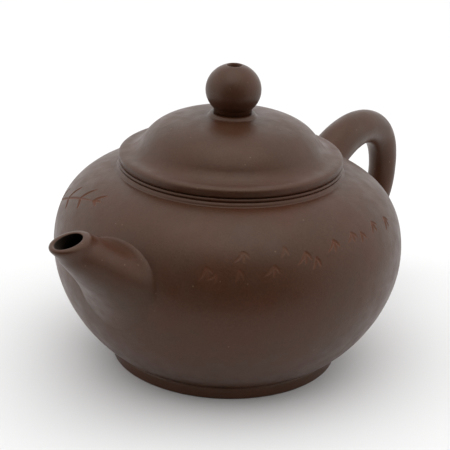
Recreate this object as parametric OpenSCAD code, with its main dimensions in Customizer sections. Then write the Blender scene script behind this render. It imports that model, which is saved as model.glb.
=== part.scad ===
// Small round-bellied stoneware teapot with a lift-off lid.
// The foot stands on z = 0, the pot's axis is Z, and the spout points along -X.
// Each luted clay piece is a module of its own, so that the pot comes apart as it was put together.

/* [Body] */
// Widest outer radius of the belly
belly_r = 41; // [39:0.5:44]
// Height of the widest point above the table
belly_z = 28; // [26:0.5:30]
// Thickness of the beaten clay wall
wall = 2.6; // [2.2:0.1:2.8]

/* [Foot] */
// Outer radius of the foot ring
foot_r = 27; // [26:0.1:28]
// Height of the foot ring
foot_h = 3; // [2.6:0.1:3.4]
// Width of the foot ring's standing face
foot_w = 3.4; // [3:0.1:4]
// Clearance of the base disc above the table
base_lift = 1.5; // [1:0.1:1.8]

/* [Mouth] */
// Radius of the mouth that the lid's flange drops into
mouth_r = 22.7; // [22:0.1:23.2]
// Outer radius of the neck ring, where the shoulder ends
neck_r = 26.5; // [26:0.1:27]
// Height of the shoulder where the neck ring stands on it
neck_z = 46.4; // [46:0.1:47]
// Height of the neck ring
neck_h = 0.9; // [0.7:0.1:1.1]
// Height of the mouth rim above the neck ring
rim_h = 0.8; // [0.6:0.1:1]

/* [Lid] */
// Outer radius of the lid
lid_r = 26; // [25.6:0.1:26.4]
// Gap between the mouth rim and the lid that rests on it
lid_gap = 0.1; // [0.05:0.05:0.2]
// Thickness of the lid's plate
plate_h = 1.1; // [1:0.1:1.3]
// Height of the lid's edge, plate and dome together
edge_h = 2.2; // [2:0.1:2.5]
// Height of the dome above the lid's seat
dome_h = 10.9; // [10.5:0.1:11.3]
// Depth of the flange below the lid's seat
flange_d = 7; // [5:0.5:8]
// Clearance between the flange and the mouth
flange_gap = 0.35; // [0.3:0.05:0.5]
// Thickness of the flange
flange_t = 2.4; // [2:0.1:2.6]

/* [Knob] */
// Radius of the knob
knob_r = 6.4; // [6:0.1:6.8]
// Half height of the knob, were it whole
knob_half_h = 6; // [5.8:0.1:6.2]
// Height of the knob's middle above the lid's seat
knob_z = 17; // [16.8:0.1:17.3]
// Radius of the collar that the knob stands on
collar_r = 5.1; // [4.9:0.1:5.4]
// Height of the collar
collar_h = 1.1; // [0.9:0.1:1.3]
// Radius of the knob's neck
neck_knob_r = 4.4; // [4.2:0.1:4.6]
// Radius of the air hole through the knob
vent_r = 1.2; // [1:0.05:1.4]

/* [Spout] */
// Reach of the middle of the spout's mouth from the pot's axis
spout_reach = 53.7; // [52.5:0.1:55]
// Height of the middle of the spout's mouth
spout_z = 43.8; // [42:0.1:45]
// Half the length of the spout's mouth, which is cut nearly level
spout_tip_l = 4.9; // [4.7:0.1:5.1]
// Half the width of the spout's mouth
spout_tip_w = 3.8; // [3.6:0.1:4]
// Thickness of the spout's wall at its mouth
spout_wall = 1.5; // [1.3:0.1:1.7]

/* [Handle] */
// Reach of the middle of the handle's back from the pot's axis
handle_reach = 68; // [65.5:0.5:69]
// Thickness of the handle where it leaves the shoulder
handle_t = 10.7; // [10:0.1:11]
// Thickness of the handle at its back
handle_back_t = 7.3; // [7:0.1:7.8]
// Thickness of the handle at its lower end
handle_low_t = 6.6; // [6.2:0.1:7]

/* [Hidden] */
clay = "#5a463d";
inner_clay = "#6a5145";
$fn = 128;

seat_z = neck_z + neck_h + rim_h + lid_gap;
base_top = base_lift + wall;
base_r = foot_r - foot_w;

// Steps along each quarter of the belly, and where the wall strip gives way to the shoulder disc
belly_steps = 14;
shoulder_step = 7;

// The outlet that the strainer fills: its middle, its tilt from the horizontal and its radius
outlet_z = 31.4;
outlet_tilt = 28;
outlet_r = 6;
strainer_t = 1.4;
strainer_hole_r = 0.9;
skirt_gap = 0.05;
skirt_h = 1.5;

// A point on the cubic Bezier curve p, at t from 0 to 1
function bezier(p, t) =
    pow(1 - t, 3) * p[0] + 3 * pow(1 - t, 2) * t * p[1] + 3 * (1 - t) * t * t * p[2] + pow(t, 3) * p[3];
// The curve p in n steps
function curve(p, n) = [for (i = [0:n]) bezier(p, i / n)];
function unit(v) = v / norm(v);
function reversed(list) = [for (i = [len(list) - 1:-1:0]) list[i]];
function part_of(list, first, last) = [for (i = [first:last]) list[i]];
// The outline path moved by d to its left
function moved_left(path, d) = [for (i = [0:len(path) - 1])
    let (t = unit(path[min(i + 1, len(path) - 1)] - path[max(i - 1, 0)])) path[i] + d * [-t[1], t[0]]];

// The belly's outer line from the foot to the widest point, and on to the neck ring
lower_line = curve([[foot_r, foot_h], [foot_r + 7.2, foot_h + 4.6], [belly_r, belly_z - 10], [belly_r, belly_z]],
    belly_steps);
upper_line = curve([[belly_r, belly_z], [belly_r, belly_z + 8.2], [belly_r - 3.3, neck_z - 2.5],
    [neck_r, neck_z]], belly_steps);
outer_line = concat(lower_line, part_of(upper_line, 1, belly_steps));
inner_line = moved_left(outer_line, wall);
split = belly_steps + shoulder_step;
last = len(outer_line) - 1;

// The dome's outer line from the lid's edge to its crown
brim_line = [[lid_r - 0.9, seat_z + edge_h], [23.2, seat_z + edge_h + 0.5]];
dome_line = concat([[lid_r, seat_z + plate_h], [lid_r, seat_z + edge_h - 0.7], [lid_r - 0.3, seat_z + edge_h - 0.2]],
    brim_line,
    curve([[22.2, seat_z + edge_h + 1], [19.6, seat_z + 9.2], [14.5, seat_z + dome_h], [0, seat_z + dome_h]], 16));
flange_r = mouth_r - flange_gap;
cavity_r = flange_r - flange_t;
dome_cavity = curve([[cavity_r, seat_z + plate_h], [17.5, seat_z + 6], [12, seat_z + dome_h - wall],
    [0, seat_z + dome_h - wall]], 12);
// The collar is let into a flat on the crown, and the knob stands in it on a short neck
crown_z = seat_z + dome_h - 0.3;
collar_top = crown_z + collar_h;

module revolved(outline) {
    rotate_extrude() polygon(outline);
}

// A closed tube from a list of rings, each a list of points
module skin(rings) {
    n = len(rings[0]);
    m = len(rings);
    faces = concat(
        [[for (k = [n - 1:-1:0]) k]],
        [for (i = [0:m - 2], k = [0:n - 1]) [i * n + k, i * n + (k + 1) % n, (i + 1) * n + k]],
        [for (i = [0:m - 2], k = [0:n - 1])
            [(i + 1) * n + k, i * n + (k + 1) % n, (i + 1) * n + (k + 1) % n]],
        [[for (k = [0:n - 1]) (m - 1) * n + k]]);
    polyhedron([for (ring = rings) each ring], faces, convexity = 8);
}

// An egg-shaped ring of n points at p, square to the direction d in the XZ plane.
// It reaches low and high to the two sides in that plane, and wide across it.
function egg(p, d, low, high, wide, n) = let (u = unit(d)) [for (k = [0:n - 1])
    let (w = 360 * k / n, a = cos(w) > 0 ? low : high)
    [p[0] - u[1] * a * cos(w), wide * sin(w), p[1] + u[0] * a * cos(w)]];

module body_solid() {
    revolved(concat([[0, foot_h]], outer_line, [[0, neck_z]]));
}

// Stands on the wall's outlet with +Z out along the spout
module at_outlet() {
    translate([-(belly_r - wall), 0, outlet_z]) rotate([0, outlet_tilt - 90, 0]) children();
}

module body_wall() {
    color(clay) difference() {
        revolved(concat(
            [[base_r, foot_h]],
            part_of(outer_line, 0, split),
            reversed(part_of(inner_line, 1, split)),
            [[base_r, base_top]]));
        at_outlet() translate([0, 0, -10]) cylinder(r = outlet_r, h = 20);
    }
}

module base_disc() {
    color(inner_clay) translate([0, 0, base_lift]) cylinder(r = base_r, h = wall);
}

module foot_ring() {
    edge = 0.5;
    color(clay) revolved([[base_r, edge], [base_r + edge, 0], [foot_r - edge, 0], [foot_r, edge],
        [foot_r, foot_h], [base_r, foot_h]]);
}

module shoulder_disc() {
    color(clay) revolved(concat(
        part_of(outer_line, split, last),
        [[mouth_r, neck_z], [mouth_r, neck_z - wall]],
        reversed(part_of(inner_line, split, last - 1))));
}

module neck_ring() {
    waist = 0.35;
    color(clay) revolved([[mouth_r, neck_z], [neck_r, neck_z], [neck_r - waist, neck_z + neck_h / 2],
        [neck_r - 0.1, neck_z + neck_h], [mouth_r, neck_z + neck_h]]);
}

module mouth_rim() {
    low = neck_z + neck_h;
    edge = 0.2;
    color(clay) revolved([[mouth_r, low], [neck_r - 0.1 - edge, low], [neck_r - 0.1, low + edge],
        [neck_r - 0.1, low + rim_h - edge], [neck_r - 0.1 - edge, low + rim_h], [mouth_r, low + rim_h]]);
}

// The spout is a flat trumpet: wide at its root, and oval at its mouth.
// Its middle line, its slope, and what it reaches below, above and to each side of that line
spout_path = [[-34, 28.6], [-42, 33.2], [-48.6, 39.2], [-spout_reach, spout_z]];
function spout_heading(t) = let (a = 26 + 54 * pow(max(t, 0), 1.4)) [-cos(a), sin(a)];
function left_of(t, power) = pow(max(min(1 - t, 1), 0), power);
function spout_rings(inset, from, to, m) = [for (i = [0:m]) let (t = from + (to - from) * i / m)
    egg(bezier(spout_path, t), spout_heading(t), spout_tip_l - inset + 6.5 * left_of(t, 3.5),
        spout_tip_l - inset + 8.4 * left_of(t, 3.5), spout_tip_w - inset + 10.4 * left_of(t, 1.35), 32)];

module spout() {
    color(clay) difference() {
        skin(spout_rings(0, 0, 1, 16));
        skin(spout_rings(spout_wall, -0.02, 1.06, 16));
        body_solid();
    }
}

module strainer() {
    outer_r = outlet_r - skirt_gap;
    color(inner_clay) at_outlet() difference() {
        union() {
            sphere(r = outer_r);
            cylinder(r = outer_r, h = skirt_h);
        }
        sphere(r = outer_r - strainer_t);
        cylinder(r = outer_r - strainer_t, h = outlet_r * 2);
        translate([0, 0, skirt_h]) cylinder(r = outlet_r * 2, h = outlet_r * 2);
        for (row = [[1, 0], [6, 32], [10, 58]])
            for (k = [0:row[0] - 1])
                rotate([0, 180 - row[1], 360 * k / row[0]]) cylinder(r = strainer_hole_r, h = outlet_r * 2, $fn = 24);
    }
}

// The handle's middle line, from the shoulder over its back and down to the belly
handle_top = [[33, 32.4], [44.7, 47.6], [handle_reach, 48.4], [handle_reach, 30]];
handle_low = [[handle_reach, 30], [handle_reach, 14.2], [52.3, 14.9], [33, 13.4]];
function handle_at(s) = s < 1 ? bezier(handle_top, s) : bezier(handle_low, s - 1);
function handle_heading(s) = handle_at(min(s + 0.01, 2)) - handle_at(max(s - 0.01, 0));
function handle_half(s) = lookup(s, [[0, handle_t], [1, handle_back_t], [2, handle_low_t]]) / 2;

module handle() {
    m = 30;
    color(clay) difference() {
        skin([for (i = [0:m]) let (s = 2 * i / m, half = handle_half(s))
            egg(handle_at(s), handle_heading(s), half, half, half, 28)]);
        body_solid();
    }
}

module lid_flange() {
    edge = 0.4;
    color(inner_clay) revolved([[cavity_r, seat_z], [cavity_r, seat_z - flange_d + edge],
        [cavity_r + edge, seat_z - flange_d], [flange_r - edge, seat_z - flange_d],
        [flange_r, seat_z - flange_d + edge], [flange_r, seat_z]]);
}

module lid_plate() {
    edge = 0.3;
    color(clay) revolved([[cavity_r, seat_z], [lid_r - edge, seat_z], [lid_r, seat_z + edge],
        [lid_r, seat_z + plate_h], [cavity_r, seat_z + plate_h]]);
}

module vent() {
    translate([0, 0, seat_z]) cylinder(r = vent_r, h = 40);
}

module lid_dome() {
    color(clay) difference() {
        revolved(concat(dome_line, reversed(dome_cavity)));
        translate([0, 0, crown_z]) cylinder(r = collar_r, h = 5);
        vent();
    }
}

module knob_collar() {
    edge = 0.35;
    color(clay) revolved([[vent_r, crown_z], [collar_r, crown_z], [collar_r, collar_top - edge],
        [collar_r - edge, collar_top], [vent_r, collar_top]]);
}

module lid_knob() {
    start = -acos(neck_knob_r / knob_r);
    flare = 0.7;
    end = acos((vent_r + flare) / knob_r);
    steps = 16;
    middle = seat_z + knob_z;
    top = middle + knob_half_h * sin(end);
    color(clay) revolved(concat(
        [[vent_r, collar_top], [neck_knob_r, collar_top]],
        [for (i = [0:steps]) let (a = start + (end - start) * i / steps)
            [knob_r * cos(a), middle + knob_half_h * sin(a)]],
        [[vent_r, top - flare]]));
}

body_wall();
base_disc();
foot_ring();
shoulder_disc();
neck_ring();
mouth_rim();
spout();
strainer();
handle();
lid_flange();
lid_plate();
lid_dome();
knob_collar();
lid_knob();
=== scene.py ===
import math

import bmesh
import bpy
from mathutils import Matrix, Vector
from mathutils.kdtree import KDTree


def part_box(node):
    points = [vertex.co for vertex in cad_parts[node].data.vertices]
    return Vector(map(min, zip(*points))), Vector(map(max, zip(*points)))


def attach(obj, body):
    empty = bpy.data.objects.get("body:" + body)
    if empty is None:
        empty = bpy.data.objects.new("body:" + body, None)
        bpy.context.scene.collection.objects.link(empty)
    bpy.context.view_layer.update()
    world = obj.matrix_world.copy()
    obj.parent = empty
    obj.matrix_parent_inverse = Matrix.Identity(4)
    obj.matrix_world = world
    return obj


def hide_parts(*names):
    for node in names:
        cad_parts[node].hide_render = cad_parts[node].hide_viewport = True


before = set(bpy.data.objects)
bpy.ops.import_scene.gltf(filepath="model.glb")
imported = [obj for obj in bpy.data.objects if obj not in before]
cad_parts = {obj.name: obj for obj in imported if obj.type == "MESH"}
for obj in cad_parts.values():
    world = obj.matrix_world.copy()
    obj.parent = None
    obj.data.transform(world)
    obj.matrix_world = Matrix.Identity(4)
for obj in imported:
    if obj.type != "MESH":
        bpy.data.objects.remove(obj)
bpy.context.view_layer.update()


# ---- The view ----
# A long lens looks down on the pot from the spout's side.
# The camera leans a little, so the pot seems to tip towards its handle.
mm = 0.001
turn, height, lean = math.radians(307.5), math.radians(22.65), math.radians(2.26)
distance = 330 * mm
centre = Vector((0, 0, 25 * mm))
back = Vector((math.sin(turn) * math.cos(height), -math.cos(turn) * math.cos(height), math.sin(height)))
level = Vector((math.cos(turn), math.sin(turn), 0))
right = math.cos(lean) * level + math.sin(lean) * back.cross(level)
eye = centre + distance * back
ahead = (centre - 0.5 * mm * right + 6.46 * mm * right.cross(-back) - eye).normalized()
right = (right - right.dot(ahead) * ahead).normalized()
camera = bpy.data.objects.new("camera", bpy.data.cameras.new("camera"))
camera.data.sensor_width = 36
camera.data.lens = 110.7
camera.data.clip_start = 10 * mm
looking = Matrix((right, right.cross(ahead), -ahead)).transposed().to_4x4()
camera.matrix_world = Matrix.Translation(eye) @ looking
bpy.context.collection.objects.link(camera)
bpy.context.scene.camera = camera


# ---- The belly ----
# A strip of beaten purple stoneware, closed at the shoulder by a disc and paddled round while it is damp.
# The join is luted with slip and rubbed away, so wall and shoulder are one skin, about 2.6 mm thick.
wall = 2.6 * mm
belly_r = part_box("body_wall")[1].x
belly_z = 28 * mm
foot_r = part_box("foot_ring")[1].x
foot_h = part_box("foot_ring")[1].z
foot_w = 3.4 * mm
base_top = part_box("base_disc")[1].z
base_r = foot_r - foot_w
neck_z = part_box("neck_ring")[0].z
neck_r = 26.5 * mm
mouth_r = 22.7 * mm


def bezier(a, b, c, d, t):
    s = 1 - t
    return s ** 3 * a + 3 * s * s * t * b + 3 * s * t * t * c + t ** 3 * d


def curve(a, b, c, d, steps):
    return [bezier(Vector(a), Vector(b), Vector(c), Vector(d), i / steps) for i in range(steps + 1)]


def moved_left(line, by):
    moved = []
    for i, point in enumerate(line):
        along = (line[min(i + 1, len(line) - 1)] - line[max(i - 1, 0)]).normalized()
        moved.append(point + by * Vector((-along.y, along.x)))
    return moved


def turned(outline, steps=256):
    bm = bmesh.new()
    verts = [bm.verts.new((r, 0, z)) for r, z in outline]
    edges = [bm.edges.new((verts[i - 1], verts[i])) for i in range(len(verts))]
    bmesh.ops.spin(bm, geom=verts + edges, cent=(0, 0, 0), axis=(0, 0, 1), dvec=(0, 0, 0),
                   angle=2 * math.pi, steps=steps, use_merge=True, use_duplicate=False)
    bmesh.ops.remove_doubles(bm, verts=bm.verts, dist=0.001 * mm)
    bmesh.ops.recalc_face_normals(bm, faces=bm.faces)
    return bm


def piece(bm, name, material, body, slot, *nodes):
    for face in bm.faces:
        face.smooth = True
    mesh = bpy.data.meshes.new(name)
    bm.to_mesh(mesh)
    bm.free()
    mesh.materials.append(material)
    made = bpy.data.objects.new(name, mesh)
    bpy.context.collection.objects.link(made)
    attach(made, body)
    if nodes:
        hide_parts(*nodes)
    return made


lower = curve((foot_r, foot_h), (foot_r + 7.2 * mm, foot_h + 4.6 * mm), (belly_r, belly_z - 10 * mm),
              (belly_r, belly_z), 40)
upper = curve((belly_r, belly_z), (belly_r, belly_z + 8.2 * mm), (belly_r - 3.3 * mm, neck_z - 2.5 * mm),
              (neck_r, neck_z), 40)
outside = lower + upper[1:]
inside = moved_left(outside, wall)[2::2]


def belly_at(z):
    """The belly's outer radius at height z, and its outward slope there."""
    z = min(max(z, outside[0].y), outside[-1].y)
    for low, high in zip(outside, outside[1:]):
        if z <= high.y:
            break
    run = high - low
    return low.x + run.x * (z - low.y) / run.y, Vector((run.y, -run.x)).normalized()


def onto_belly(point, lift=0.0):
    """The point moved square to the axis onto the belly's skin, and the skin's normal there."""
    r, slope = belly_at(point.z)
    outward = Vector((point.x, point.y, 0)).normalized()
    normal = outward * slope.x + Vector((0, 0, slope.y))
    return outward * r + Vector((0, 0, point.z)) + normal * lift, normal


# Purple-brown zisha stoneware: fired bare, so it shows fine sand, a few pale and dark grains,
# and a broad low sheen where years of tea and hands have rubbed it.
def linear(hex_colour):
    parts = [int(hex_colour[i:i + 2], 16) / 255 for i in (1, 3, 5)]
    return tuple(c / 12.92 if c <= 0.04045 else ((c + 0.055) / 1.055) ** 2.4 for c in parts) + (1.0,)


def add(tree, kind, inputs=None, **settings):
    """Adds a node with its settings, and its sockets set to a value or linked to another node's output."""
    made = tree.nodes.new("ShaderNode" + kind)
    for name, value in settings.items():
        setattr(made, name, value)
    for name, value in (inputs or {}).items():
        if isinstance(value, bpy.types.NodeSocket):
            tree.links.new(value, made.inputs[name])
        else:
            made.inputs[name].default_value = value
    return made


def stoneware(name, body, warm, cool, roughness, cut=False):
    """Bare stoneware: body is its colour, warm and cool the tints it drifts to."""
    material = bpy.data.materials.new(name)
    material.use_nodes = True
    tree = material.node_tree
    tree.nodes.clear()
    place = add(tree, "TexCoord").outputs["Object"]

    def noise(size, detail=2.0):
        return add(tree, "TexNoise", {"Vector": place, "Scale": 1 / size, "Detail": detail}).outputs["Fac"]

    def between(value, low, high, to_low=0.0, to_high=1.0):
        return add(tree, "MapRange", {"Value": value, "From Min": low, "From Max": high,
                                      "To Min": to_low, "To Max": to_high}).outputs["Result"]

    def mixed(factor, under, over, blend="MIX"):
        return add(tree, "Mix", {0: factor, 6: under, 7: over}, data_type="RGBA",
                   blend_type=blend).outputs[2]

    def times(a, b):
        return add(tree, "Math", {0: a, 1: b}, operation="MULTIPLY").outputs[0]

    # The firing's drift of colour, a few centimetres across
    colour = mixed(between(noise(22 * mm), 0.35, 0.65), linear(body), linear(warm))
    colour = mixed(between(noise(9 * mm), 0.45, 0.75, 0.0, 0.7), colour, linear(cool))
    # Sand of about 0.3 mm in the body
    sand = noise(0.45 * mm, 3.0)
    colour = mixed(between(sand, 0.3, 0.7, 0.0, 0.5), colour, mixed(0.5, colour, (0, 0, 0, 1)))

    def grains(apart, size, share):
        spots = add(tree, "TexVoronoi", {"Vector": place, "Scale": 1 / apart})
        chosen = add(tree, "SeparateColor", {0: spots.outputs["Color"]}).outputs[0]
        chosen = between(chosen, 1 - share, 1 - share + 0.01)
        return times(between(spots.outputs["Distance"], size / apart, 0.4 * size / apart), chosen)

    pale = grains(1.7 * mm, 0.24 * mm, 0.08)
    dark = grains(1.3 * mm, 0.2 * mm, 0.12)
    colour = mixed(times(pale, 0.2), colour, linear("#a98f74"))
    colour = mixed(times(dark, 0.5), colour, linear("#24170f"))
    rough = between(noise(3 * mm, 3.0), 0.3, 0.7, roughness - 0.05, roughness + 0.07)
    if cut:
        # Cut lines show the raw rust-coloured clay under the rubbed skin
        depth = add(tree, "Attribute", attribute_name="cut").outputs["Fac"]
        colour = mixed(times(depth, 0.85), colour, linear("#5e3420"))
        rough = add(tree, "Math", {0: rough, 1: times(depth, 0.25)}, operation="ADD").outputs[0]
    # The skin: sand grains that stand a little proud, and shallow tool marks a few millimetres wide
    skin = add(tree, "Bump", {"Height": sand, "Strength": 0.5, "Distance": 0.05 * mm}).outputs["Normal"]
    skin = add(tree, "Bump", {"Height": noise(4 * mm, 1.0), "Strength": 0.5, "Distance": 0.12 * mm,
                              "Normal": skin}).outputs["Normal"]
    shader = add(tree, "BsdfPrincipled", {"Base Color": colour, "Roughness": rough, "Normal": skin,
                                          "IOR": 1.5, "Specular IOR Level": 0.37,
                                          "Specular Tint": linear("#fff0e2")})
    add(tree, "OutputMaterial", {"Surface": shader.outputs[0]})
    return material


rubbed = stoneware("rubbed zisha stoneware", "#442819", "#492818", "#412d20", 0.38, cut=True)
raw = stoneware("raw zisha stoneware", "#4e3324", "#553627", "#4d392b", 0.62)

mouth_round = 0.3 * mm
belly = turned(
    [Vector((base_r, foot_h))] + outside
    + [Vector((mouth_r, neck_z)), Vector((mouth_r, neck_z - wall + mouth_round)),
       Vector((mouth_r + mouth_round, neck_z - wall))]
    + inside[::-1][1:] + [Vector((base_r, base_top))])

# The outlet to the spout is bored through the wall, and the strainer is set in it
outlet_r, outlet_tilt = 6 * mm, math.radians(28)
drill = bmesh.new()
bmesh.ops.create_cone(drill, cap_ends=True, segments=64, radius1=outlet_r, radius2=outlet_r, depth=20 * mm)
bmesh.ops.transform(drill, matrix=Matrix.Translation((wall - belly_r, 0, 31.4 * mm))
                    @ Matrix.Rotation(outlet_tilt - math.pi / 2, 4, "Y"), verts=drill.verts)


def cut_out(bm, tool):
    """Cuts the solid tool out of the solid bm, and gives the result."""
    made = []
    for source in (bm, tool):
        mesh = bpy.data.meshes.new("cut")
        source.to_mesh(mesh)
        source.free()
        made.append(bpy.data.objects.new("cut", mesh))
        bpy.context.collection.objects.link(made[-1])
    cutting = made[0].modifiers.new("cut", "BOOLEAN")
    cutting.object = made[1]
    cutting.operation = "DIFFERENCE"
    cutting.solver = "EXACT"
    whole = bmesh.new()
    whole.from_object(made[0], bpy.context.evaluated_depsgraph_get())
    for obj in made:
        bpy.data.objects.remove(obj)
    return whole


belly = cut_out(belly, drill)

# A flowering twig and sprigs of bamboo leaves are cut in the damp clay with a bamboo point.
# Each line is a groove about 0.25 mm deep
def belly_point(turn_deg, z):
    a = math.radians(turn_deg)
    return onto_belly(Vector((math.cos(a), math.sin(a), z * mm)))[0]


cuts = []


def stroke(points, widest, deep=1.0):
    """A smooth line through points on the belly: it starts fine, swells and runs out to a point."""
    count = max(6, round(sum((b - a).length for a, b in zip(points, points[1:])) / (0.12 * mm)))
    for k in range(count + 1):
        t = k / count * (len(points) - 1)
        i = min(int(t), len(points) - 2)
        before, after = points[max(i - 1, 0)], points[min(i + 2, len(points) - 1)]
        u = t - i
        place = 0.5 * (2 * points[i] + (points[i + 1] - before) * u
                       + (2 * before - 5 * points[i] + 4 * points[i + 1] - after) * u * u
                       + (3 * points[i] - before - 3 * points[i + 1] + after) * u ** 3)
        swell = math.sin(math.pi * min(1, 0.15 + 0.85 * k / count)) ** 0.6
        cuts.append((onto_belly(place)[0], max(0.3, swell) * widest, deep))


def sprig(turn_deg, z, length, headings, widest=0.3 * mm, deep=1.0):
    """Leaves that spread from one point, each with its heading in degrees from the pot's level."""
    root = belly_point(turn_deg, z)
    normal = onto_belly(root)[1]
    east = Vector((0, 0, 1)).cross(normal).normalized()
    up = normal.cross(east)
    for k, heading in enumerate(headings):
        a = math.radians(heading)
        along, aside = math.cos(a) * east + math.sin(a) * up, math.cos(a) * up - math.sin(a) * east
        run = length * (1 - 0.16 * (k % 3))
        stroke([root + along * run * t + aside * run * 0.3 * t * (1 - t) for t in (0, 0.5, 1)], widest, deep)


# Over the spout: a twig of bamboo, with leaves at its joints
stroke([belly_point(*place) for place in ((124, 35.5), (134, 38.6), (145, 41.4), (156, 43.0))], 0.3 * mm)
for turn_deg, z, length, headings in ((129.5, 37.4, 3.6, (75, 330)), (138.5, 39.9, 4.2, (70, 325)),
                                      (147.5, 41.9, 4.0, (62, 318)), (156.0, 43.0, 3.4, (48, 15, 340))):
    sprig(turn_deg, z, length * mm, headings, widest=0.36 * mm)
# Round the front and the right: sprigs, worn faint at the front
for turn_deg, z, length, headings, deep in (
        (211.0, 37.6, 3.4, (250, 285, 320), 0.35), (214.5, 36.4, 2.6, (215, 260), 0.35),
        (222.5, 40.6, 3.0, (235, 275, 315), 0.35), (221.5, 37.4, 2.8, (255, 295), 0.35),
        (232.5, 38.0, 3.2, (225, 262, 300), 0.45), (236.5, 41.2, 2.8, (250, 290), 0.5),
        (243.5, 39.9, 3.6, (232, 262, 300), 0.8), (247.0, 38.6, 2.8, (245, 290), 0.8),
        (255.5, 40.9, 3.4, (228, 262, 300), 1.0), (264.5, 41.2, 3.0, (225, 265, 305), 0.8),
        (269.0, 40.6, 2.6, (250, 300), 0.8), (277.5, 41.2, 3.0, (235, 275, 320), 0.9),
        (287.0, 40.4, 3.2, (240, 280, 318), 0.9),
        (28.0, 40.4, 3.4, (240, 275, 315), 0.9), (40.0, 41.0, 3.8, (235, 268, 300), 1.0),
        (53.0, 40.2, 3.2, (250, 290), 0.9), (66.0, 41.0, 3.4, (235, 270, 310), 0.9)):
    sprig(turn_deg, z, length * mm, headings, deep=deep)

tree_of_cuts = KDTree(len(cuts))
for i, (spot, width, deep) in enumerate(cuts):
    tree_of_cuts.insert(spot, i)
tree_of_cuts.balance()


def near_cut(point):
    """How far the nearest cut's middle is, and that cut's width and depth."""
    _, i, gap = tree_of_cuts.find(point)
    return gap, cuts[i][1], cuts[i][2]


# The skin is divided four times as finely along the cuts, so that they are real grooves
for close in (1.5 * mm, 1.0 * mm):
    bmesh.ops.subdivide_edges(
        belly, cuts=1, use_grid_fill=True,
        edges=[e for e in belly.edges if max(near_cut(v.co)[0] for v in e.verts) < close])
cut_layer = belly.verts.layers.float.new("cut")
for vert in belly.verts:
    gap, width, deep = near_cut(vert.co)
    share = gap / width
    if share < 2.2:
        trough = max(0.0, 1 - share * share)
        burr = math.exp(-((share - 1.35) / 0.35) ** 2)
        vert.co -= onto_belly(vert.co)[1] * deep * (0.8 * width * trough - 0.03 * mm * burr)
        vert[cut_layer] = deep * max(0.0, 1.1 - 0.65 * share)

piece(belly, "belly", rubbed, "pot", "clay_body", "body_wall", "shoulder_disc")


# ---- The foot ----
# A low coil luted under the belly and trimmed on the wheel head, with a flat disc of clay set up inside it.
# Its edges are rounded with a wet leather strip.
def rounded(outline, radius, steps=4):
    """The closed outline with each corner rounded."""
    out = []
    for i, corner in enumerate(outline):
        before, after = outline[i - 1], outline[(i + 1) % len(outline)]
        cut = min(radius, (before - corner).length * 0.45, (after - corner).length * 0.45)
        start = corner + (before - corner).normalized() * cut
        end = corner + (after - corner).normalized() * cut
        for k in range(steps + 1):
            t = k / steps
            out.append((1 - t) ** 2 * start + 2 * t * (1 - t) * corner + t * t * end)
    return out


def turned_ring(corners, radius):
    return turned(rounded([Vector(c) for c in corners], radius))


crease = 0.35 * mm
foot = turned_ring([(base_r, 0), (foot_r, 0), (foot_r, foot_h - 0.4 * mm),
                    (foot_r - crease, foot_h + 0.1 * mm), (base_r, foot_h + 0.1 * mm)], 0.55 * mm)
piece(foot, "foot", rubbed, "pot", "clay_body", "foot_ring")
base_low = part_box("base_disc")[0].z
pinhole_r = 0.4 * mm
base = turned_ring([(pinhole_r, base_low), (base_r, base_low), (base_r, base_top), (pinhole_r, base_top)],
                   0.2 * mm)
# The disc is turned with a pinhole at its middle, which is then closed
bmesh.ops.remove_doubles(base, verts=[v for v in base.verts if v.co.xy.length < 0.45 * mm], dist=1.0 * mm)
piece(base, "base", raw, "pot", "clay_inner", "base_disc")


# ---- The neck and the mouth rim ----
# Two thin rings of clay stacked on the shoulder. The upper one is the seat that the lid is ground to.
rim_low, rim_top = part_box("mouth_rim")[0].z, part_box("mouth_rim")[1].z
waist_r = 25.95 * mm
neck = turned_ring([(mouth_r, neck_z - 0.3 * mm), (neck_r + 0.9 * mm, neck_z - 0.3 * mm),
                    (neck_r, neck_z), (neck_r - 0.15 * mm, neck_z + 0.45 * mm),
                    (waist_r, rim_low), (mouth_r, rim_low)], 0.35 * mm)
piece(neck, "neck", rubbed, "pot", "clay_body", "neck_ring")
seat = turned_ring([(mouth_r, rim_low), (waist_r - 0.05 * mm, rim_low),
                    (waist_r + 0.12 * mm, rim_low + 0.4 * mm),
                    (waist_r - 0.1 * mm, rim_top), (mouth_r, rim_top)], 0.25 * mm)
piece(seat, "mouth_seat", rubbed, "pot", "clay_body", "mouth_rim")


# ---- The spout ----
# A flat trumpet of clay rolled over a pointed stick and bent once, then luted over the outlet.
# Its root is worked out into the belly with a wet tool. The mouth is cut nearly level and its lip rounded.
mouth_l, mouth_w, tip_wall = 4.9 * mm, 3.8 * mm, 1.45 * mm
spout_line = [Vector(p) * mm for p in ((-34, 28.6), (-42, 33.2), (-48.6, 39.2), (-53.7, 43.8))]


def lofted(rings):
    """A tube pulled out ring after ring, each point of a ring following the one before it."""
    bm = bmesh.new()
    spoke, row = bm.verts.layers.int.new("spoke"), bm.verts.layers.int.new("row")
    verts = bmesh.ops.create_circle(bm, segments=len(rings[0]), radius=mm)["verts"]
    for k, vert in enumerate(verts):
        vert[spoke] = k
    edges = list(bm.edges)
    for i, ring in enumerate(rings):
        if i:
            geom = bmesh.ops.extrude_edge_only(bm, edges=edges)["geom"]
            verts = [g for g in geom if isinstance(g, bmesh.types.BMVert)]
            fresh = set(verts)
            edges = [e for e in {e for v in verts for e in v.link_edges} if fresh.issuperset(e.verts)]
        for vert in verts:
            vert.co = ring[vert[spoke]]
            vert[row] = i
    return bm


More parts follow.
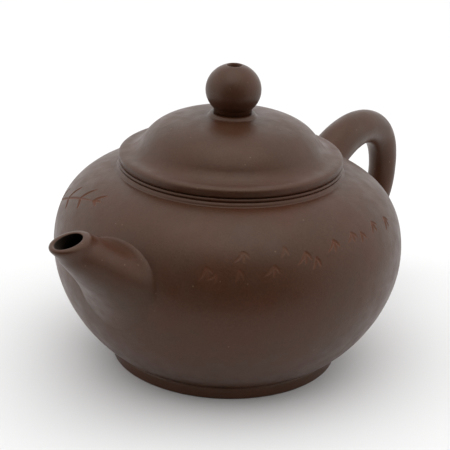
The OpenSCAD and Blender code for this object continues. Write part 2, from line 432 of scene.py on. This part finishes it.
def egg_ring(at, heading, low, high, wide, count):
    """An egg-shaped ring square to heading. At and heading lie in the pot's plane of symmetry, as X and Z."""
    u = heading.normalized()
    ring = []
    for k in range(count):
        w = 2 * math.pi * k / count
        reach = (low if math.cos(w) > 0 else high) * math.cos(w)
        ring.append(Vector((at.x - u.y * reach, wide * math.sin(w), at.y + u.x * reach)))
    return ring


def spout_heading(t):
    lift = math.radians(26 + 54 * max(t, 0) ** 1.4)
    return Vector((-math.cos(lift), math.sin(lift)))


def spout_ring(t, inset=0.0):
    left = max(1 - t, 0)
    waist = 0.25 * mm * math.exp(-((t - 0.86) / 0.07) ** 2) + inset
    return egg_ring(bezier(*spout_line, t), spout_heading(t), mouth_l - waist + 6.5 * mm * left ** 3.5,
                    mouth_l - waist + 8.4 * mm * left ** 3.5, mouth_w - waist + 10.4 * mm * left ** 1.35, 96)


def skirt(ring_at, middle_at, start, end, along, out, rows=30, steps=8):
    """The rings of a tube from start to end, and those of its root, worked out over the belly.

    Each spoke leaves the tube a little before it meets the belly, and runs out along the belly's skin.
    """
    samples = 80
    rails = [ring_at(start + (end - start) * i / samples) for i in range(samples + 1)]
    body, root = [[] for _ in range(rows)], [[] for _ in range(steps)]
    for k in range(len(rails[0])):
        line = [rail[k] for rail in rails]
        gone = next(i for i, p in enumerate(line) if p.xy.length < belly_at(p.z)[0])
        meet, normal = onto_belly(line[gone].lerp(line[gone - 1], 0.5))
        i, run = gone, 0.0
        while i > 0 and run < along:
            run += (line[i] - line[i - 1]).length
            i -= 1
        middle = middle_at(start + (end - start) * gone / samples)
        away = meet - Vector((middle.x, 0, middle.y))
        away = (away - away.dot(normal) * normal).normalized()
        land = onto_belly(meet + away * out(k / len(rails[0])), -0.05 * mm)[0]
        for j in range(rows):
            at = i * j / (rows - 1)
            low = min(int(at), samples - 1)
            body[j].append(line[low].lerp(line[low + 1], at - low))
        for j in range(steps):
            t = (j + 1) / steps
            root[j].append((1 - t) ** 2 * line[i] + 2 * t * (1 - t) * meet + t * t * land)
    return body, root


def spout_root(share):
    """How far the root runs out over the belly: furthest below, where it is worked in."""
    return (0.7 + 0.5 * max(math.cos(2 * math.pi * share), 0) ** 2) * mm


lip_at, outlet_at = 0.95, 0.28
body_rings, root_rings = skirt(spout_ring, lambda t: bezier(*spout_line, t), lip_at, 0.0, 1.6 * mm,
                               spout_root)
# The lip rolls over, broad outside and tight inside. The bore follows the outside down to the belly
lip_in = 0.45 * mm
lip_rings = []
for k in range(1, 16):
    a = math.pi * k / 16
    if k <= 8:
        lip_rings.append(spout_ring(1 - 0.05 * (1 - math.sin(a)), (tip_wall - lip_in) * (1 - math.cos(a))))
    else:
        lip_rings.append(spout_ring(1 - 0.025 * (1 - math.sin(a)), tip_wall - lip_in * (1 + math.cos(a))))
bore_from = 0.97
bore_rings = [spout_ring(bore_from - (bore_from - outlet_at) * k / 30, tip_wall) for k in range(31)]
# It ends round the outlet, just under the belly's skin
outlet = bezier(*spout_line, outlet_at)
outlet = Vector((outlet.x, 0, outlet.y))
end_ring = [onto_belly(outlet + (point - outlet).normalized() * (outlet_r + 0.4 * mm), -0.3 * mm)[0]
            for point in bore_rings[-1]]
spout = lofted(root_rings[::-1] + body_rings[::-1] + lip_rings + bore_rings + [end_ring])
bmesh.ops.bridge_loops(spout, edges=[e for e in spout.edges if e.is_boundary])
bmesh.ops.recalc_face_normals(spout, faces=spout.faces)
# The bore is coloured nearly black, from just inside the lip
row = spout.verts.layers.int["row"]
bore_starts = len(root_rings) + len(body_rings) + len(lip_rings) - 3
for face in spout.faces:
    face.material_index = int(min(v[row] for v in face.verts) >= bore_starts)
spout_shell = piece(spout, "spout_shell", rubbed, "pot", "clay_body", "spout")
spout_shell.data.materials.append(stoneware("near-black bore stoneware", "#1d120c", "#22150e", "#1a110d", 0.7))


# ---- The handle ----
# A roll of clay tapered by hand and bent to an ear, thickest at the top where the finger lifts.
# Both ends are luted to the belly, and the joins are worked round.
top_t, back_t, low_t = 10.7 * mm, 7.3 * mm, 6.6 * mm
handle_top = [Vector(p) * mm for p in ((33, 32.4), (44.7, 47.6), (68, 48.4), (68, 30))]
handle_low = [Vector(p) * mm for p in ((68, 30), (68, 14.2), (52.3, 14.9), (33, 13.4))]


def handle_at(s):
    return bezier(*handle_top, s) if s < 1 else bezier(*handle_low, s - 1)


def handle_ring(s):
    heading = handle_at(min(s + 0.01, 2)) - handle_at(max(s - 0.01, 0))
    half = (top_t + (back_t - top_t) * s if s < 1 else back_t + (low_t - back_t) * (s - 1)) / 2
    return egg_ring(handle_at(s), heading, half, half, half, 64)


upper_rings, upper_root = skirt(handle_ring, handle_at, 1.0, 0.0, 2.6 * mm, lambda share: 2.0 * mm)
lower_rings, lower_root = skirt(handle_ring, handle_at, 1.0, 2.0, 2.4 * mm, lambda share: 2.0 * mm)
handle = lofted(upper_root[::-1] + upper_rings[::-1] + lower_rings[1:] + lower_root)
bmesh.ops.holes_fill(handle, edges=[e for e in handle.edges if e.is_boundary])
bmesh.ops.recalc_face_normals(handle, faces=handle.faces)
piece(handle, "handle_loop", rubbed, "pot", "clay_body", "handle")


# ---- The strainer ----
# A thimble of clay pierced with a needle while it is leather-hard, and set in the outlet inside the pot.
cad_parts["strainer"].data.materials.clear()
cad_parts["strainer"].data.materials.append(raw)


# ---- The lid ----
# A domed slab on a flat ring, luted at the edge and turned true, so the two read as one.
# The flange below is raw clay, ground with sand until it turns in the mouth without play.
seat_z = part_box("lid_plate")[0].z
lid_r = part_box("lid_plate")[1].x
edge_h = 2.2 * mm
dome_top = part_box("knob_collar")[0].z
flange_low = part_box("lid_flange")[0].z
flange_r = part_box("lid_flange")[1].x
flange_in = flange_r - 2.4 * mm
vent_r = 1.2 * mm
crown = dome_top + 0.4 * mm
brim_z = seat_z + edge_h


def from_rim(inwards, above):
    """A point of the lid's outline, in mm inwards from its rim and above its brim."""
    return Vector((lid_r - inwards * mm, brim_z + above * mm))


lid_edge = curve(from_rim(0, -0.9), from_rim(0, -0.2), from_rim(0.5, 0), from_rim(1.5, 0.12), 8)
sweep = curve(from_rim(1.5, 0.12), from_rim(3.0, 0.25), from_rim(4.2, 0.7), from_rim(5.2, 2.2), 14)
dome = curve(from_rim(5.2, 2.2), (18.6 * mm, brim_z + 6 * mm), (14.8 * mm, crown), (vent_r, crown), 40)
hollow = curve((vent_r, crown - wall), (12 * mm, crown - wall), (17.5 * mm, seat_z + 6 * mm),
               (flange_in, seat_z + 1.1 * mm), 20)
under_edge = [Vector((lid_r - 0.5 * mm, seat_z)), Vector((lid_r - 0.12 * mm, seat_z + 0.12 * mm)),
              Vector((lid_r, seat_z + 0.5 * mm))]
lid = turned([Vector((flange_in, seat_z))] + under_edge + lid_edge + sweep[1:] + dome[1:] + hollow)
piece(lid, "lid", rubbed, "lid", "clay_lid", "lid_plate", "lid_dome")
flange = turned_ring([(flange_in, seat_z), (flange_in, flange_low),
                      (flange_r, flange_low), (flange_r, seat_z)], 0.5 * mm)
piece(flange, "flange", raw, "lid_lifter", "clay_inner", "lid_flange")


# ---- The knob ----
# A ball of clay rolled in the palms, stood on a small bead and luted to the crown.
# The air hole is pushed down through ball and lid with a tapered stick, which leaves its mouth flared.
knob_r, knob_half, knob_z = 6.4 * mm, 6 * mm, seat_z + 17 * mm
collar_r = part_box("knob_collar")[1].x
collar_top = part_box("knob_collar")[1].z


def from_collar(outwards, above):
    """A point of the collar's outline, in mm outwards from its side and above the crown."""
    return Vector((collar_r + outwards * mm, dome_top + above * mm))


# The foot of the bead is smeared out over the crown in a small cove
cove = curve(from_collar(1.3, 0.12), from_collar(0.5, 0.25),
             from_collar(0.35, 0.5), from_collar(0.2, 0.65), 6)
bead = curve(from_collar(0.2, 0.65), from_collar(0.05, 1.15), (collar_r - 0.4 * mm, collar_top),
             (collar_r - 0.9 * mm, collar_top - 0.1 * mm), 8)
collar = turned([Vector((vent_r, dome_top - 0.1 * mm))] + cove + bead[1:]
                + [Vector((vent_r, collar_top - 0.1 * mm))])
piece(collar, "collar", rubbed, "lid", "clay_lid", "knob_collar")
neck_knob_r, sunk = 4.4 * mm, 0.35 * mm
start, stop = -math.acos(neck_knob_r / knob_r), math.radians(72)
ball = [Vector((knob_r * math.cos(a), knob_z + knob_half * math.sin(a)))
        for a in [start + (stop - start) * k / 36 for k in range(37)]]
flare = curve(ball[-1], ball[-1] + Vector((-0.35 * mm, 0.1 * mm)),
              (vent_r + 0.35 * mm, ball[-1].y - 0.2 * mm), (vent_r, ball[-1].y - 2.2 * mm), 10)
knob = turned([Vector((vent_r, collar_top - sunk)), Vector((neck_knob_r, collar_top - sunk))]
              + ball + flare[1:])
piece(knob, "knob", rubbed, "lid", "clay_lid", "lid_knob")


# ---- The table and the light ----
# A plain pale table in a tent of white cloth, lit from both sides and from above.
# The pot stands near the table's edge, so its front mirrors the dark room and not the table.
table_half, edge_from_pot = 1.5, 105 * mm
table = bmesh.new()
bmesh.ops.create_grid(
    table, x_segments=1, y_segments=1, size=table_half,
    matrix=Matrix.Rotation(turn, 4, "Z") @ Matrix.Translation((0, table_half - edge_from_pot, 0)))
table_mesh = bpy.data.meshes.new("table")
table.to_mesh(table_mesh)
table.free()
table_top = bpy.data.objects.new("table", table_mesh)
bpy.context.collection.objects.link(table_top)
white = bpy.data.materials.new("white paper")
white.use_nodes = True
white.node_tree.nodes["Principled BSDF"].inputs["Base Color"].default_value = (0.82, 0.82, 0.82, 1)
white.node_tree.nodes["Principled BSDF"].inputs["Roughness"].default_value = 0.9
table_mesh.materials.append(white)

# The tent is open towards the camera, and the room seen through the opening is dark
sky = bpy.data.worlds.new("tent")
sky.use_nodes = True
sky_tree = sky.node_tree
towards = add(sky_tree, "TexCoord").outputs["Generated"]
opening = Vector((back.x, back.y, 0)).normalized() + Vector((0, 0, -0.2))
facing = add(sky_tree, "VectorMath", {0: towards, 1: opening.normalized()},
             operation="DOT_PRODUCT").outputs["Value"]
cloth = add(sky_tree, "MapRange", {"Value": facing, "From Min": 0.28, "From Max": 0.88, "To Min": 1.12,
                                   "To Max": 0.12}, interpolation_type="SMOOTHSTEP").outputs["Result"]
sky_tree.links.new(cloth, sky_tree.nodes["Background"].inputs["Strength"])
sky_tree.nodes["Background"].inputs["Color"].default_value = (1, 1, 1, 1)
bpy.context.scene.world = sky
bpy.context.scene.view_settings.view_transform = "Standard"


def softbox(name, turn_deg, up_deg, away, size, power):
    """A square lamp aimed at the pot, turn_deg to the right of the camera and up_deg above the table."""
    lamp = bpy.data.lights.new(name, "AREA")
    lamp.size = size
    lamp.energy = power
    a = turn + math.radians(turn_deg)
    e = math.radians(up_deg)
    out = Vector((math.sin(a) * math.cos(e), -math.cos(a) * math.cos(e), math.sin(e)))
    made = bpy.data.objects.new(name, lamp)
    made.location = centre + out * away
    made.rotation_mode = "QUATERNION"
    made.rotation_quaternion = out.to_track_quat("Z", "Y")
    bpy.context.collection.objects.link(made)


softbox("left cloth", -95, 35, 0.8, 0.7, 0.4)
softbox("right cloth", 95, 35, 0.8, 0.7, 0.5)
softbox("roof", 0, 80, 0.9, 0.9, 2.5)
